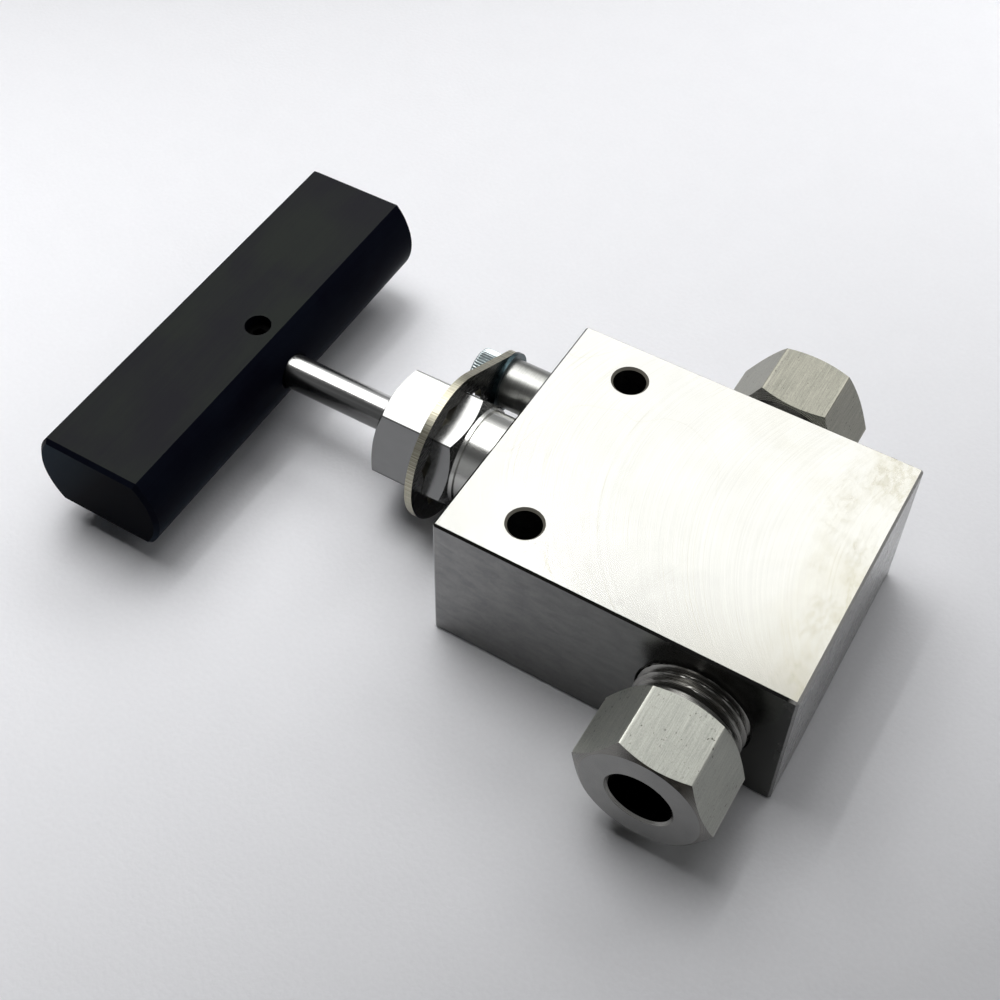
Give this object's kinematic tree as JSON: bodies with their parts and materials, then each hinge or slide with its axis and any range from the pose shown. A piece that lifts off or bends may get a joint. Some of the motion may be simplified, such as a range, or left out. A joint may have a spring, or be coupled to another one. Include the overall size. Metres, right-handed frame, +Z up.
{
  "type": "high pressure two-way valve",
  "caption": "Manual needle valve: square steel block with coned and threaded tube connections on two sides, a locked packing gland and a T-bar handle.",
  "frame": {"origin": "on the flat underside of the block, below the crossing of the stem axis and the inlet axis", "axes": "+X along the stem from the handle to the blind end of the block, +Y from the inlet side to the outlet side, +Z up through the bolt holes; the stem axis is 14.3 mm up"},
  "size_m": [0.1333, 0.0866, 0.0286],
  "materials": {
    "block_steel": "ground",
    "polished_steel": "polished",
    "drawn_steel": "drawn, streaked",
    "rod_steel": "polished",
    "plate_steel": "satin",
    "zinc_plated_steel": "bright zinc",
    "anodised_aluminium": "black satin",
    "black_oxide_steel": "black oxide",
    "packing": "matte"
  },
  "bodies": {
    "valve": {"valve_body": "block_steel", "packing_gland": "polished_steel", "upper_packing_washer": "drawn_steel", "packing_ring_1": "packing", "packing_ring_2": "packing", "packing_ring_3": "packing", "lower_packing_washer": "drawn_steel", "lock_plate": "plate_steel", "lock_plate_screw": "zinc_plated_steel", "lock_plate_washer": "zinc_plated_steel", "lock_plate_spacer": "plate_steel"},
    "stem": {"lower_stem": "rod_steel"},
    "handle_assembly": {"handle": "anodised_aluminium", "handle_set_screw": "black_oxide_steel", "stem_sleeve": "rod_steel", "thrust_washer": "rod_steel", "stem_retainer": "rod_steel"},
    "inlet_collar": {"collar_inlet": "drawn_steel"},
    "inlet_nut": {"gland_nut_inlet": "drawn_steel"},
    "outlet_collar": {"collar_outlet": "drawn_steel"},
    "outlet_nut": {"gland_nut_outlet": "drawn_steel"}
  },
  "joints": [
    {"name": "stem_travel", "type": "slide", "parent": "valve", "child": "stem", "axis": [-1, 0, 0], "range_m": [0, 0.00381]},
    {"name": "handle_turn", "type": "hinge", "parent": "stem", "child": "handle_assembly", "pos_m": [-0.0468, 0, 0.0143], "axis": [-1, 0, 0], "range_deg": [0, 1080]},
    {"name": "inlet_nut_travel", "type": "slide", "parent": "valve", "child": "inlet_collar", "axis": [0, -1, 0], "range_m": [-0.00159, 0.00476]},
    {"name": "inlet_nut_turn", "type": "hinge", "parent": "inlet_collar", "child": "inlet_nut", "pos_m": [0, -0.0254, 0.0143], "axis": [0, -1, 0], "range_deg": [-360, 1080]},
    {"name": "outlet_nut_travel", "type": "slide", "parent": "valve", "child": "outlet_collar", "axis": [0, 1, 0], "range_m": [-0.00159, 0.00476]},
    {"name": "outlet_nut_turn", "type": "hinge", "parent": "outlet_collar", "child": "outlet_nut", "pos_m": [-0.0104, 0.0254, 0.0143], "axis": [0, 1, 0], "range_deg": [-360, 1080]}
  ],
  "couplings": [
    {"joint": "handle_turn", "follows": "stem_travel", "rad_per_m": 4947.4},
    {"joint": "inlet_nut_turn", "follows": "inlet_nut_travel", "rad_per_m": 3957.9},
    {"joint": "outlet_nut_turn", "follows": "outlet_nut_travel", "rad_per_m": 3957.9}
  ]
}
